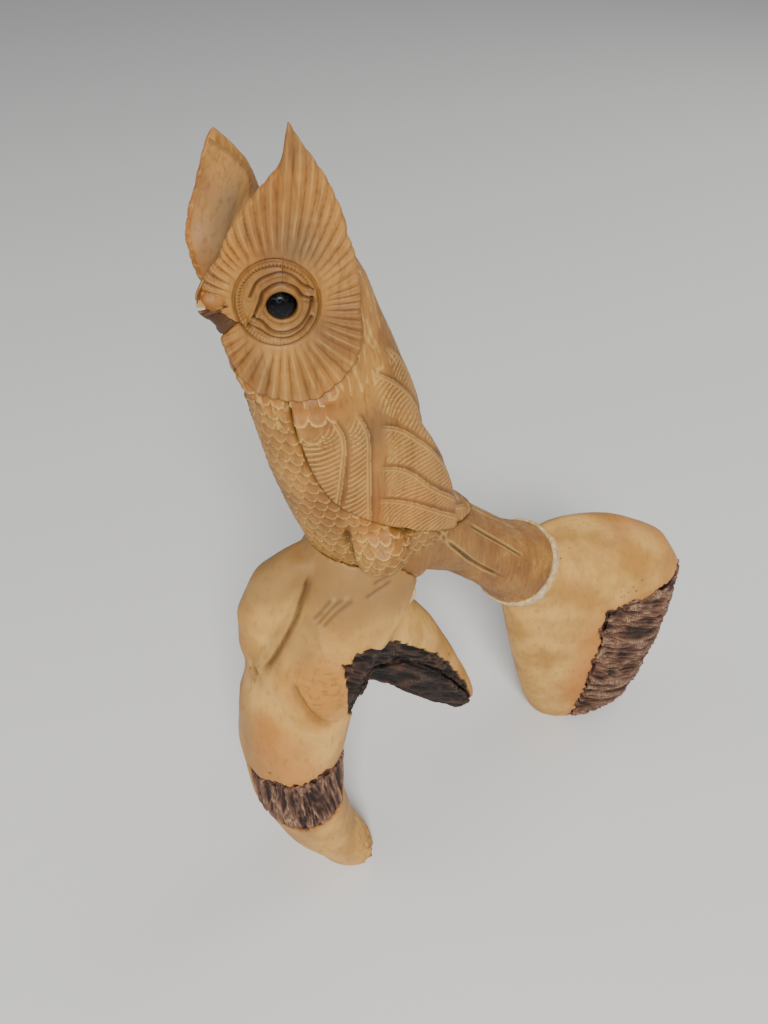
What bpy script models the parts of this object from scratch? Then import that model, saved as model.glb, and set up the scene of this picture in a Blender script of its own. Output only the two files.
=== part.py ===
"""Owl figurine carved from a natural wood growth, standing on two flared burls.

The owl looks along -Y and its tail runs back along +Y. Its left side is +X. Z is up and the
origin is on the resting plane, under the middle of the figurine.
"""
import math

import bmesh
import bpy
from mathutils import Matrix, Vector

# Driving dimensions, in millimetres
MM = 0.001
GAP = 0.3  # clearance between touching pieces
MIDDLE_X = 6.5  # middle of the figurine's outer box, in the carver's layout
MIDDLE_Y = 46.5
EYE_RADIUS = 3.2
EYE_CENTRE = Vector((7.0, -25.0, 237.3))  # left eye, the right one is mirrored
DOWEL_RADIUS = 4.0
TAIL_RADIUS = 15.0
TAIL_ROOT = Vector((0.0, 38.0, 128.0))
TAIL_END = Vector((0.0, 69.0, 95.5))
FILLER_THICKNESS = 3.5
LEG_DOWEL_FOOT = Vector((0.0, -8.0, 112.0))
LEG_DOWEL_HEAD = Vector((0.0, 1.0, 170.0))
TAIL_DOWEL_REACH = 16.0  # how far the tail dowel goes into each side
LEG_PATCH = Vector((11.0, 4.5, 132.5))
NOTCH_YAW = 50.0
NOTCH_ROLL = -20.0
BURL_YAW = 20.0  # the rear burl's long axis swings this far to the owl's left
RING_POINTS = 24
VOXEL = 1.3


def clear_scene():
    for item in list(bpy.data.objects):
        bpy.data.objects.remove(item, do_unlink=True)


def new_collection(name):
    group = bpy.data.collections.new(name)
    bpy.context.scene.collection.children.link(group)
    return group


def wood(name, colour, roughness, metallic=0.0):
    material = bpy.data.materials.new(name)
    material.use_nodes = True
    shader = material.node_tree.nodes["Principled BSDF"]
    shader.inputs["Base Color"].default_value = (*colour, 1.0)
    shader.inputs["Roughness"].default_value = roughness
    shader.inputs["Metallic"].default_value = metallic
    return material


def place(item, group):
    """Move an object into one collection and hang it on the figurine's own frame."""
    for other in list(item.users_collection):
        other.objects.unlink(item)
    group.objects.link(item)
    item.parent = FRAME
    return item


def object_from(name, body, group):
    """Turn a bmesh in millimetres into an object in metres."""
    bmesh.ops.scale(body, vec=(MM, MM, MM), verts=body.verts)
    bmesh.ops.recalc_face_normals(body, faces=body.faces)
    mesh = bpy.data.meshes.new(name)
    body.to_mesh(mesh)
    body.free()
    return place(bpy.data.objects.new(name, mesh), group)


def skin_over(body, rings):
    """Add a closed loft to body. A ring is its centre and its two half axes, as vectors."""
    rows = []
    for centre, half_u, half_v in rings:
        row = []
        for step in range(RING_POINTS):
            turn = 2 * math.pi * step / RING_POINTS
            row.append(body.verts.new(centre + half_u * math.cos(turn) + half_v * math.sin(turn)))
        rows.append(row)
    for low, high in zip(rows, rows[1:]):
        for step in range(RING_POINTS):
            after = (step + 1) % RING_POINTS
            body.faces.new((low[step], low[after], high[after], high[step]))
    body.faces.new(rows[0][::-1])
    body.faces.new(rows[-1])


def level_rings(stations):
    """Horizontal oval rings, each given as centre, half width, half depth and yaw in degrees."""
    rings = []
    for x, y, z, half_width, half_depth, yaw in stations:
        turn = math.radians(yaw)
        across = Vector((math.cos(turn), -math.sin(turn), 0.0)) * half_width
        along = Vector((math.sin(turn), math.cos(turn), 0.0)) * half_depth
        rings.append((Vector((x, y, z)), across, along))
    return rings


def spine_rings(stations):
    """Rings square to a spine in the YZ plane, as centre, half width and half height."""
    points = [Vector(station[:3]) for station in stations]
    rings = []
    for index, station in enumerate(stations):
        before = points[max(index - 1, 0)]
        after = points[min(index + 1, len(points) - 1)]
        run = (after - before).normalized()
        across = Vector((1.0, 0.0, 0.0))
        rings.append((points[index], across * station[3], run.cross(across) * station[4]))
    return rings


def leaf_rings(edges, thickness):
    """Rings of a standing leaf, from pairs of its front and rear edge points."""
    rings = []
    for front, rear in edges:
        front = Vector(front)
        rear = Vector(rear)
        width = rear - front
        face = width.cross(Vector((0.0, 0.0, 1.0))).normalized()
        centre = (front + rear) / 2 - face * thickness * 0.5
        rings.append((centre, width / 2, face * min(thickness / 2, width.length / 2)))
    return rings


def ellipsoid(body, centre, radii, pitch=0.0):
    """Add an oval solid, tipped about the X axis by pitch degrees."""
    turn = Matrix.Rotation(math.radians(pitch), 4, "X")
    shape = Matrix.Translation(centre) @ turn @ Matrix.Diagonal((*radii, 1.0))
    bmesh.ops.create_uvsphere(body, u_segments=16, v_segments=10, radius=1.0, matrix=shape)


def blend_into_one(item, keep, rounds=4):
    """Fuse overlapping shapes into one skin, soften the creases and thin the mesh out."""
    fuse = item.modifiers.new("fuse", "REMESH")
    fuse.mode = "VOXEL"
    fuse.voxel_size = VOXEL * MM
    soften = item.modifiers.new("soften", "SMOOTH")
    soften.factor = 0.5
    soften.iterations = rounds
    thin = item.modifiers.new("thin", "DECIMATE")
    thin.ratio = keep
    return item


def frozen(item, name, group, grow=0.0):
    """A plain mesh copy of an object as its modifiers show it, grown along its normals."""
    graph = bpy.context.evaluated_depsgraph_get()
    mesh = bpy.data.meshes.new_from_object(item.evaluated_get(graph))
    mesh.name = name
    if grow:
        body = bmesh.new()
        body.from_mesh(mesh)
        body.normal_update()
        steps = [(vert, vert.normal * vert.calc_shell_factor()) for vert in body.verts]
        for vert, step in steps:
            vert.co += step * grow * MM
        body.to_mesh(mesh)
        body.free()
    return place(bpy.data.objects.new(name, mesh), group)


def cut(item, cutter, operation="DIFFERENCE"):
    step = item.modifiers.new(cutter.name, "BOOLEAN")
    step.operation = operation
    step.solver = "EXACT"
    step.object = cutter
    cutter.hide_render = True
    cutter.display_type = "WIRE"


def rod(name, start, end, radius, group, sides=24):
    """A straight round rod between two points."""
    body = bmesh.new()
    run = end - start
    turn = run.to_track_quat("Z", "Y").to_matrix().to_4x4()
    shape = Matrix.Translation((start + end) / 2) @ turn
    bmesh.ops.create_cone(body, cap_ends=True, segments=sides, radius1=radius, radius2=radius,
                          depth=run.length, matrix=shape)
    return object_from(name, body, group)


def block(name, centre, size, group, yaw=0.0, roll=0.0):
    """A box about its centre, rolled about its depth axis and then turned about Z, in degrees."""
    body = bmesh.new()
    turn = Matrix.Rotation(math.radians(yaw), 4, "Z") @ Matrix.Rotation(math.radians(roll), 4, "Y")
    shape = Matrix.Translation(centre) @ turn @ Matrix.Diagonal((*size, 1.0))
    bmesh.ops.create_cube(body, size=1.0, matrix=shape)
    return object_from(name, body, group)


def prism(name, outline, low_x, high_x, group):
    """A slab whose outline lies in the YZ plane, from low_x to high_x."""
    body = bmesh.new()
    near = [body.verts.new((high_x, y, z)) for y, z in outline]
    far = [body.verts.new((low_x, y, z)) for y, z in outline]
    body.faces.new(near)
    body.faces.new(far[::-1])
    for index in range(len(outline)):
        after = (index + 1) % len(outline)
        body.faces.new((near[after], near[index], far[index], far[after]))
    return object_from(name, body, group)


def owl_blank(group):
    """The owl's body, head, ear tufts, wings, thighs and tail as one rough shape."""
    body = bmesh.new()
    skin_over(body, level_rings([
        (0, 12, 140, 12, 16, 0), (0, 9, 150, 16, 21, 0), (0, 5, 160, 17.5, 22.5, 0),
        (0, 0.5, 172, 18, 22, 0), (0, -5, 187, 18, 20.5, 0), (0, -7.5, 200, 17.5, 20.5, 0),
        (0, -10, 210, 16, 19.5, 0), (0, -10.5, 217, 14, 17.5, 0), (0, -11, 225, 12, 14.5, 0),
        (0, -13, 235, 11.5, 12.5, 0), (0, -17, 245, 10, 10.5, 0), (0, -20, 250, 6, 6, 0)]))
    skin_over(body, spine_rings([
        (0, 8, 156, 14, 17), (0, 24, 141, 13, 13), (*TAIL_ROOT, 11.5, 11.5), (0, 54, 111, 12, 12),
        (0, 62, 103, 13.5, 13.5), (*TAIL_END, 15.5, 15.5), (0, 78, 86, 16.5, 16.5)]))
    near_leaf = [((1, -31, 210), (11.5, -22.5, 211)), ((0, -34, 217), (15, -17, 217)),
                 ((0, -36, 224), (17, -12.5, 224)), ((0, -37.5, 232), (17.3, -11.5, 233)),
                 ((0.3, -39, 241), (17.3, -12, 242)), ((4.5, -36.5, 250), (16.8, -14, 251)),
                 ((7.3, -32.5, 256), (16.0, -16.5, 258)), ((10.6, -28.5, 262), (15.2, -19.5, 263.5)),
                 ((12.8, -25.8, 268), (14.8, -22.5, 268)), ((13.8, -25, 272), (14.4, -23.9, 272))]
    skin_over(body, leaf_rings(near_leaf, 5.0))
    far_leaf = [((-11.5, -22.5, 211), (-1, -31, 210)), ((-15, -17, 217), (0, -34, 217)),
                ((-17, -12.5, 224), (0, -36, 224)), ((-17.3, -11.5, 233), (0, -37.5, 232)),
                ((-17.3, -12, 240), (-1, -39, 240)), ((-17.3, -13.5, 247), (-9.5, -36.5, 247)),
                ((-17, -15.5, 252), (-13, -33, 252)), ((-17, -18, 256), (-14, -28.5, 256)),
                ((-17, -20, 260), (-14.5, -25.5, 260)), ((-16.5, -21.5, 263.3), (-15.5, -23.5, 263.3))]
    skin_over(body, leaf_rings(far_leaf, 5.0))
    ellipsoid(body, (0, -36.8, 238.5), (2.8, 3.0, 4.0))
    for side in (1, -1):
        ellipsoid(body, (15 * side, -6, 163), (7.5, 8.5, 7.5))
        ellipsoid(body, (9 * side, 6, 151), (8, 9, 14), 25)
        ellipsoid(body, (14 * side, 3, 180), (5.5, 11.5, 33), 24)
    return object_from("owl_blank", body, group)


def front_blank(group):
    """The front burl: a leg down to the table and a raised arch towards the tail."""
    body = bmesh.new()
    skin_over(body, level_rings([
        (0, 2, 158, 14, 18, 0), (0, -1, 147, 17.5, 19, 0), (0, -8, 133, 19, 20, 0),
        (-1, -19, 117, 20, 18, 0), (-2, -27, 98, 20, 16, 0), (-3, -30.5, 76, 20.5, 15, 0),
        (-3, -30, 50, 19.5, 14.5, 0), (-1.5, -26, 25, 18.5, 12.5, 0), (0.5, -19.5, 6, 15.5, 9.5, 0),
        (0.5, -18, -5, 14, 8.5, 0)]))
    skin_over(body, spine_rings([
        (1, -13, 124, 15, 16), (1, 0, 114, 14, 16), (2, 12, 97, 12.5, 14), (3, 23, 77, 10.5, 11.5),
        (4, 33, 59, 8, 9), (5, 41, 46, 5.5, 6), (5, 45.5, 40, 3, 3)]))
    skin_over(body, level_rings([
        (-5, -17, 153, 5, 5, 0), (-10, -23, 144, 7, 8, 0), (-13.5, -26.5, 130, 8, 9, 0),
        (-15.5, -28, 114, 7, 8, 0), (-17.5, -28, 101, 4.5, 5.5, 0), (-18.5, -28, 95, 2, 3, 0)]))
    ellipsoid(body, (6, -21.5, 109), (11, 11, 16), -15)
    return object_from("front_blank", body, group)


def rear_blank(group):
    """The rear burl: a tall flared hoof that the tail runs into."""
    body = bmesh.new()
    skin_over(body, level_rings([
        (17.5, 107, -4, 11, 22, 20), (17.5, 106, 8, 13, 27, 20), (17, 104, 30, 16, 32, 20),
        (15, 103, 58, 18.5, 37, 20), (13, 102, 75, 19.5, 38.5, 20), (10.5, 99, 88, 17.5, 34, 20),
        (7.5, 95, 96.5, 13, 25, 20), (5, 93, 100.5, 7, 14, 20)]))
    skin_over(body, spine_rings([
        (0, 66, 98.5, 14, 13.5), (1, 76, 88.5, 16, 15.5), (3, 88, 79.5, 18, 18)]))
    return object_from("rear_blank", body, group)


def inset(outline, by):
    """The outline moved inwards, towards its middle, by about the given distance."""
    middle_y = sum(y for y, z in outline) / len(outline)
    middle_z = sum(z for y, z in outline) / len(outline)
    moved = []
    for y, z in outline:
        reach = math.hypot(y - middle_y, z - middle_z)
        keep = 1 - 1.6 * by / reach
        moved.append((middle_y + (y - middle_y) * keep, middle_z + (z - middle_z) * keep))
    return moved


def new_ellipsoid(name, centre, radii, group):
    body = bmesh.new()
    ellipsoid(body, centre, radii)
    return object_from(name, body, group)


def finish(item, name, material):
    """Name the finished piece and give it its wood."""
    item.name = name
    item.data.name = name
    item.data.materials.clear()
    item.data.materials.append(material)


clear_scene()
FRAME = bpy.data.objects.new("figurine_frame", None)
bpy.context.scene.collection.objects.link(FRAME)
FRAME.location = (-MIDDLE_X * MM, -MIDDLE_Y * MM, 0.0)
PARTS = new_collection("owl_figurine")
CUTTERS = new_collection("cutters")

CARVED = wood("carved_wood", (0.42, 0.21, 0.08), 0.45)
PALE = wood("burl_wood", (0.58, 0.38, 0.18), 0.5)
DARK = wood("arch_host_wood", (0.05, 0.03, 0.02), 0.85)
GREY = wood("torn_host_wood", (0.19, 0.13, 0.1), 0.9)
PUTTY = wood("wood_filler", (0.66, 0.56, 0.42), 0.8)
BEECH = wood("dowel_wood", (0.6, 0.43, 0.26), 0.6)
BLACK = wood("eye_black", (0.01, 0.012, 0.015), 0.12)

# Rough shapes, each fused into one skin
owl_rough = blend_into_one(owl_blank(CUTTERS), 0.075)
front_rough = blend_into_one(front_blank(CUTTERS), 0.065)
rear_rough = blend_into_one(rear_blank(CUTTERS), 0.05)
bpy.context.view_layer.update()

owl = frozen(owl_rough, "owl_carving", PARTS)
owl_grown = frozen(owl_rough, "owl_grown", CUTTERS, GAP)
front = frozen(front_rough, "front_flare", PARTS)
rear = frozen(rear_rough, "rear_flare", PARTS)

# Nothing reaches below the resting plane, so both feet end in flat faces
table = block("table_side", (0, 46, -20), (260, 320, 40), CUTTERS)

# The front burl takes the shape of the owl's seat
cut(front, owl_grown)

# The tail ends in a flat face, the filler ring lies on it and the rear burl follows
tail_run = (TAIL_END - TAIL_ROOT).normalized()
ring_end = TAIL_END + tail_run * FILLER_THICKNESS
behind_tail = rod("behind_tail", TAIL_END, TAIL_END + tail_run * 30, 26, CUTTERS)
before_rear = rod("before_rear", TAIL_END - tail_run * 26, ring_end + tail_run * GAP, 26, CUTTERS)
cut(owl, behind_tail)
cut(rear, before_rear)
ring = rod("tail_filler", TAIL_END + tail_run * GAP, ring_end, TAIL_RADIUS + 1.0, PARTS, 32)

# Dark host wood under the arch, gripped by the burl
arch_outline = [(-15, 114), (3, 106), (19, 87), (29, 70), (38, 54), (43, 42), (30, 18),
                (0, 46), (-14, 82)]
arch_space = prism("arch_space", arch_outline, -5 - GAP, 30, CUTTERS)
arch_inner = prism("arch_inner", inset(arch_outline, GAP), -5, 29, CUTTERS)
arch_core = frozen(front_rough, "arch_host_wood", PARTS)
cut(arch_core, arch_inner, "INTERSECT")
cut(front, arch_space)

# Torn host wood across the front leg, just above the lip it stands on
notch_centre = Vector((15.0, -38.5, 63.0))
notch_size = Vector((60, 24, 27))
notch_space = block("notch_space", notch_centre, notch_size, CUTTERS, NOTCH_YAW, NOTCH_ROLL)
smaller = notch_size - Vector((GAP, GAP, GAP)) * 2
notch_inner = block("notch_inner", notch_centre, smaller, CUTTERS, NOTCH_YAW, NOTCH_ROLL)
notch_core = frozen(front_rough, "notch_host_wood", PARTS)
cut(notch_core, notch_inner, "INTERSECT")
cut(front, notch_space)

# Torn host wood in the mouth of the rear burl
mouth_centre = Vector((40.0, 116.5, 26.0))
mouth_size = Vector((36, 53, 98))
mouth_space = block("mouth_space", mouth_centre, mouth_size, CUTTERS, -BURL_YAW)
smaller = mouth_size - Vector((GAP, GAP, GAP)) * 2
mouth_inner = block("mouth_inner", mouth_centre, smaller, CUTTERS, -BURL_YAW)
rear_core = frozen(rear_rough, "rear_host_wood", PARTS)
cut(rear_core, mouth_inner, "INTERSECT")
cut(rear, mouth_space)
for footed in (front, rear, rear_core):
    cut(footed, table)

# Hidden dowels that hold the owl to its two burls
leg_run = (LEG_DOWEL_HEAD - LEG_DOWEL_FOOT).normalized()
leg_dowel = rod("leg_dowel", LEG_DOWEL_FOOT, LEG_DOWEL_HEAD, DOWEL_RADIUS, PARTS)
leg_bore = rod("leg_bore", LEG_DOWEL_FOOT - leg_run * GAP, LEG_DOWEL_HEAD + leg_run * GAP,
               DOWEL_RADIUS + GAP, CUTTERS)
cut(owl, leg_bore)
cut(front, leg_bore)
tail_low = TAIL_END - tail_run * TAIL_DOWEL_REACH
tail_high = ring_end + tail_run * TAIL_DOWEL_REACH
tail_dowel = rod("tail_dowel", tail_low, tail_high, DOWEL_RADIUS, PARTS)
tail_bore = rod("tail_bore", tail_low - tail_run * GAP, tail_high + tail_run * GAP,
                DOWEL_RADIUS + GAP, CUTTERS)
cut(owl, tail_bore)
cut(rear, tail_bore)
cut(ring, tail_bore)

# Filler where the left leg meets the front burl
patch = new_ellipsoid("leg_filler", LEG_PATCH, (3.5, 6.0, 4.5), PARTS)
patch_space = new_ellipsoid("patch_space", LEG_PATCH, (3.5 + GAP, 6.0 + GAP, 4.5 + GAP), CUTTERS)
cut(owl, patch_space)
cut(front, patch_space)

# Glossy black eyes set in round sockets
for side, name in ((1, "left_eye"), (-1, "right_eye")):
    centre = Vector((EYE_CENTRE.x * side, EYE_CENTRE.y, EYE_CENTRE.z))
    eye = new_ellipsoid(name, centre, (EYE_RADIUS,) * 3, PARTS)
    socket = new_ellipsoid(name + "_socket", centre, (EYE_RADIUS + GAP,) * 3, CUTTERS)
    cut(owl, socket)
    finish(eye, name, BLACK)

finish(owl, "owl_carving", CARVED)
finish(front, "front_flare", PALE)
finish(rear, "rear_flare", PALE)
finish(arch_core, "arch_host_wood", DARK)
finish(notch_core, "notch_host_wood", GREY)
finish(rear_core, "rear_host_wood", GREY)
finish(ring, "tail_filler", PUTTY)
finish(patch, "leg_filler", PUTTY)
finish(leg_dowel, "leg_dowel", BEECH)
finish(tail_dowel, "tail_dowel", BEECH)
for rough in (owl_rough, front_rough, rear_rough):
    rough.hide_render = True
    rough.display_type = "WIRE"
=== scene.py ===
# %% [markdown]
# # A carved owl on burl feet
# The object is an owl carved from one stem of burl wood. It stands on a flared foot in front, and its tail
# runs into a second flare behind. The frame gives every part at its real size. This script covers each one
# with a fine surface: it copies the plain shape, rebuilds it with small even faces, and then moves the points
# as a carver's gouge or a break in the wood would.

# %% The frame
import math

import bpy
import numpy as np
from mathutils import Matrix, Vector
from mathutils.bvhtree import BVHTree


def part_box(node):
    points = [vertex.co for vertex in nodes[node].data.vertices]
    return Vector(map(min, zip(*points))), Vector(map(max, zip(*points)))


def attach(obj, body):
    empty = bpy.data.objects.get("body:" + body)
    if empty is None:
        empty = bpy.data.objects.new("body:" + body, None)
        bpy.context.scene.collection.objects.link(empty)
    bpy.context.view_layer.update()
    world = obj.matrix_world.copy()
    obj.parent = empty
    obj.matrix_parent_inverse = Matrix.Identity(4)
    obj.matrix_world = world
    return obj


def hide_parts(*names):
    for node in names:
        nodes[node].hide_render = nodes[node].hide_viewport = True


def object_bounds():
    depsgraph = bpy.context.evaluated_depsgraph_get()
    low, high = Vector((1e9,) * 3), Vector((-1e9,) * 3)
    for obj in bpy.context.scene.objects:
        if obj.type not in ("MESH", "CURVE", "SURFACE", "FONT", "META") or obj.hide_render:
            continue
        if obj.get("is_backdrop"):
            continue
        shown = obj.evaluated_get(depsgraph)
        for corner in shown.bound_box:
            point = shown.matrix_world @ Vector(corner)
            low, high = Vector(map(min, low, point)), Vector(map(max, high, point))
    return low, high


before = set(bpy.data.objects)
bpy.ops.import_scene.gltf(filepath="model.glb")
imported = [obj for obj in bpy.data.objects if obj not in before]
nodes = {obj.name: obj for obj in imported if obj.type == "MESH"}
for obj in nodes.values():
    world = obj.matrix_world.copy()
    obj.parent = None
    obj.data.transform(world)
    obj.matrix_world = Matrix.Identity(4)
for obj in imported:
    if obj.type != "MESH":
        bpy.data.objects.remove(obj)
box_at_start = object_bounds()
MM = 0.001
MIDDLE = -6.5        # the owl's middle plane, in millimetres along x
print("frame nodes:", len(nodes))

# %% [markdown]
# ## Working on a surface in code
# A voxel remesh turns a plain solid into an even skin of small squares, like a fresh block of wood. A few
# smoothing steps take the flat facets away. The carving comes after that, so no groove is lost.

# %% Fresh skin
def alone(piece):
    bpy.ops.object.select_all(action="DESELECT")
    piece.select_set(True)
    bpy.context.view_layer.objects.active = piece


def apply_modifier(piece, kind, **settings):
    alone(piece)
    modifier = piece.modifiers.new(kind.title(), kind)
    for name, value in settings.items():
        setattr(modifier, name, value)
    bpy.ops.object.modifier_apply(modifier=modifier.name)


def fresh_skin(node, name, voxel, rounds):
    """A copy of a frame node with even faces as wide as voxel, smoothed for some rounds."""
    piece = bpy.data.objects.new(name, nodes[node].data.copy())
    bpy.context.scene.collection.objects.link(piece)
    alone(piece)
    bpy.ops.object.mode_set(mode="EDIT")
    bpy.ops.mesh.select_all(action="SELECT")
    bpy.ops.mesh.remove_doubles(threshold=0.01 * MM)
    bpy.ops.object.mode_set(mode="OBJECT")
    apply_modifier(piece, "REMESH", mode="VOXEL", voxel_size=voxel * MM, adaptivity=0)
    apply_modifier(piece, "SMOOTH", factor=0.5, iterations=rounds)
    return piece


# %% Points and marks
class Surface:
    """A piece's points in millimetres, with the way out of the wood at each, ready to move and to mark."""

    def __init__(self, piece):
        self.piece = piece
        self.count = len(piece.data.vertices)
        self.marks = {}
        self.read()

    def read(self):
        flat = np.empty(self.count * 3, np.float32)
        self.piece.data.vertices.foreach_get("co", flat)
        self.at = flat.reshape(-1, 3).astype(float) / MM
        self.piece.data.vertex_normals.foreach_get("vector", flat)
        self.out = flat.reshape(-1, 3).astype(float)

    def write(self):
        self.at[:, 2] = np.maximum(self.at[:, 2], 0)
        self.piece.data.vertices.foreach_set("co", (self.at * MM).astype(np.float32).ravel())
        self.piece.data.update()
        self.read()

    def lift(self, height):
        self.at += self.out * np.reshape(height, (-1, 1))
        self.write()

    def mark(self, name, amount):
        self.marks[name] = np.maximum(self.marks.get(name, np.zeros(self.count)), amount)

    def keep_marks(self):
        for name, amount in self.marks.items():
            kept = self.piece.data.attributes.new(name, "FLOAT", "POINT")
            kept.data.foreach_set("value", np.clip(amount, 0, 1).astype(np.float32))
        bpy.context.view_layer.update()


# %% [markdown]
# ## Three tools for patterns
# `wander` is smooth noise for everything that grew or broke. `gap_to` tells how far each point lies from a
# drawn line, which makes grooves and cracks. `ramp` is a soft switch.

# %% Pattern tools
def wander(at, size, seed=0):
    """Smooth noise between -1 and 1 with bumps about as wide as size, which may differ along the axes."""
    table = np.random.default_rng(seed).uniform(-1, 1, (32, 32, 32))
    cell = at / size
    low = np.floor(cell).astype(int)
    step = cell - low
    step = step * step * (3 - 2 * step)
    total = np.zeros(len(at))
    for corner in np.ndindex(2, 2, 2):
        pick = (low + corner) % 32
        share = np.prod(np.where(corner, step, 1 - step), axis=1)
        total += share * table[pick[:, 0], pick[:, 1], pick[:, 2]]
    return total


def ramp(value, low, high):
    share = np.clip((value - low) / (high - low), 0, 1)
    return share * share * (3 - 2 * share)


def drawn(points, steps=8):
    """A smooth line through a few points."""
    given = np.array(points, float)
    ends = np.vstack([2 * given[0] - given[1], given, 2 * given[-1] - given[-2]])
    line = []
    for before, start, end, after in zip(ends, ends[1:], ends[2:], ends[3:]):
        for share in np.linspace(0, 1, steps, endpoint=False):
            square, cube = share ** 2, share ** 3
            line.append(0.5 * (2 * start + (end - before) * share
                               + (2 * before - 5 * start + 4 * end - after) * square
                               + (3 * start - before - 3 * end + after) * cube))
    line.append(given[-1])
    return np.array(line)


def gap_to(at, line):
    """For each point: its distance to the line, the length along the line there, and the side it is on."""
    gap = np.full(len(at), 1e9)
    along = np.zeros(len(at))
    side = np.zeros(len(at))
    done = 0.0
    for start, end in zip(line, line[1:]):
        way = end - start
        length = np.linalg.norm(way)
        share = np.clip((at - start) @ way / length ** 2, 0, 1)
        away = at - start - share[:, None] * way
        far = np.linalg.norm(away, axis=1)
        near = far < gap
        gap[near] = far[near]
        along[near] = done + share[near] * length
        if len(way) == 2:
            side[near] = np.sign(way[0] * away[near, 1] - way[1] * away[near, 0])
        done += length
    return gap, along, side


def laid_on(spots, points):
    """A smooth line through the points, laid down onto the nearest of the spots."""
    line = drawn(points)
    for place, end in enumerate(line):
        line[place] = spots[np.argmin(((spots - end) ** 2).sum(1))]
    for _ in range(8):
        line[1:-1] = (line[:-2] + 2 * line[1:-1] + line[2:]) / 4
    return line


def stroke(gap, width):
    """The cross-section of one gouge stroke: 1 on the line, 0 past its width."""
    return np.exp(-(gap / width) ** 2)


# %% [markdown]
# ## The owl's block
# Both halves of the owl are carved alike, so its patterns are drawn once, on the distance from its middle
# plane. The face discs are planes turned half outwards; they are made as pieces of their own further down, so
# the block behind each one is first carved back.

# %% Owl block
EYE = np.array([8.4, -72.05, 237.3])
DISC_BACK = np.array([0.5444, 0.8388, 0.0])
DISC_OUT = np.array([0.8388, -0.5444, 0.0])
CHEEK = [(15.3, -3.2), (14.9, -12.9), (12.9, -16.8), (10.1, -19.6), (5.3, -22.8), (-0.2, -22.8),
         (-6.5, -20.5), (-9.1, -17.8), (-11.4, -12.7), (-12.8, -7.1), (-10.9, -5.4), (-8.7, -3.8),
         (-12.0, -1.2), (-14.9, 0.2)]
LEFT_BROW = [(-15.6, 3.0), (-10.7, 10.3), (-7.0, 17.2), (-3.6, 21.7)]
LEFT_EAR = [(-1.2, 24.4), (1.0, 26.6), (2.4, 29.0), (3.6, 34.8), (5.7, 31.0), (8.2, 27.2), (11.2, 21.0),
            (13.2, 13.4), (14.8, 5.5)]
RIGHT_BROW = [(-13.6, 3.0), (-8.6, 8.5), (-5.0, 13.5), (-1.8, 18.5), (2.2, 22.6), (4.6, 25.0)]
RIGHT_EAR = [(6.6, 26.4), (10.6, 20.8), (13.4, 14.0), (14.8, 5.5)]
LEFT_EDGE = CHEEK + LEFT_BROW + LEFT_EAR
RIGHT_EDGE = CHEEK + RIGHT_BROW + RIGHT_EAR


def half(at):
    """The same points with x measured out from the owl's middle plane."""
    return np.column_stack([np.abs(at[:, 0] - MIDDLE), at[:, 1], at[:, 2]])


def on_disc(at):
    """How far back, up and out each point is from the eye, along the face disc on its side."""
    away = half(at) - EYE
    return away @ DISC_BACK, away[:, 2], away @ DISC_OUT


def from_disc(back, up, out, right):
    """Places in millimetres from how far back, up and out they are on one of the discs."""
    spot = EYE + np.outer(back, DISC_BACK) + np.outer(out, DISC_OUT) + np.outer(up, (0, 0, 1))
    spot[:, 0] = MIDDLE + (-spot[:, 0] if right else spot[:, 0])
    return spot


def disc_reach(angle, edge):
    """A face disc's radius in each direction from the eye, through the drawn edge."""
    edge = np.array(edge)
    turn = np.arctan2(edge[:, 1], edge[:, 0])
    order = np.argsort(turn)
    return np.interp(angle, turn[order], np.hypot(edge[:, 0], edge[:, 1])[order], period=2 * np.pi)


def disc_level(back, up, right):
    """The gently dished ground of a face disc; the right one leans out more towards the ear."""
    lean = 5.4 * ramp(up, -2, 16) * (1 - 0.6 * ramp(back, 6, 13))
    brow = 2.6 * stroke(up - 9, 6) * ramp(back, 4, -4)
    ear = lean + brow if right else 0.085 * np.clip(up, 0, None)
    chin = 0.9 * ramp(-up, 14, 24)
    return -0.2 + ear + chin - (0.010 if right else 0.003) * (back - 1) ** 2


EAR_MARGIN = 14.0
RIM_MARGIN = 1.2
DISC_THICK = 1.8
CROWN = 250.5
owl = Surface(fresh_skin("owl_carving", "owl_block", 0.335, 16))
back, up, out = on_disc(owl.at)
radius = np.hypot(back, up)
covered = np.zeros(owl.count, bool)
for right, edge in ((False, LEFT_EDGE), (True, RIGHT_EDGE)):
    this_side = (owl.at[:, 0] < MIDDLE) == right
    reach = disc_reach(np.arctan2(up, back), edge)
    margin = np.where((up > 16) & ~np.bool_(right), EAR_MARGIN, RIM_MARGIN)
    behind = this_side & (radius < reach + margin) & (out > -7)
    drop = np.clip(out - (disc_level(back, up, right) - DISC_THICK), 0, None)
    pull = np.clip(radius - (reach - 1.6), 0, None) * (out > -5)
    inward = -(back / radius)[:, None] * DISC_BACK - (up / radius)[:, None] * np.array([0, 0, 1.0])
    shift = (inward * pull[:, None] - drop[:, None] * DISC_OUT) * behind[:, None]
    shift[:, 0] *= np.sign(owl.at[:, 0] - MIDDLE)
    owl.at += shift
    covered |= behind
owl.at[:, 2] -= 0.85 * np.clip(owl.at[:, 2] - CROWN, 0, None)
owl.write()
print("owl block points:", owl.count)

# %% [markdown]
# ## Unrolling the body
# The body is nearly a leaning barrel. An angle round it, 0 at the breast and 180 at the spine, and a height
# unroll it. At this size one degree round is about a third of a millimetre.

# %% Unrolled body
DEGREE = 0.34


def unrolled(at):
    """Millimetres round the body from the breast line, and the height."""
    spot = half(at)
    spine = -49.4 - (spot[:, 2] - 181) * 0.25
    angle = np.degrees(np.arctan2(spot[:, 0], spine - spot[:, 1]))
    return np.column_stack([angle * DEGREE, spot[:, 2]])


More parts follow.
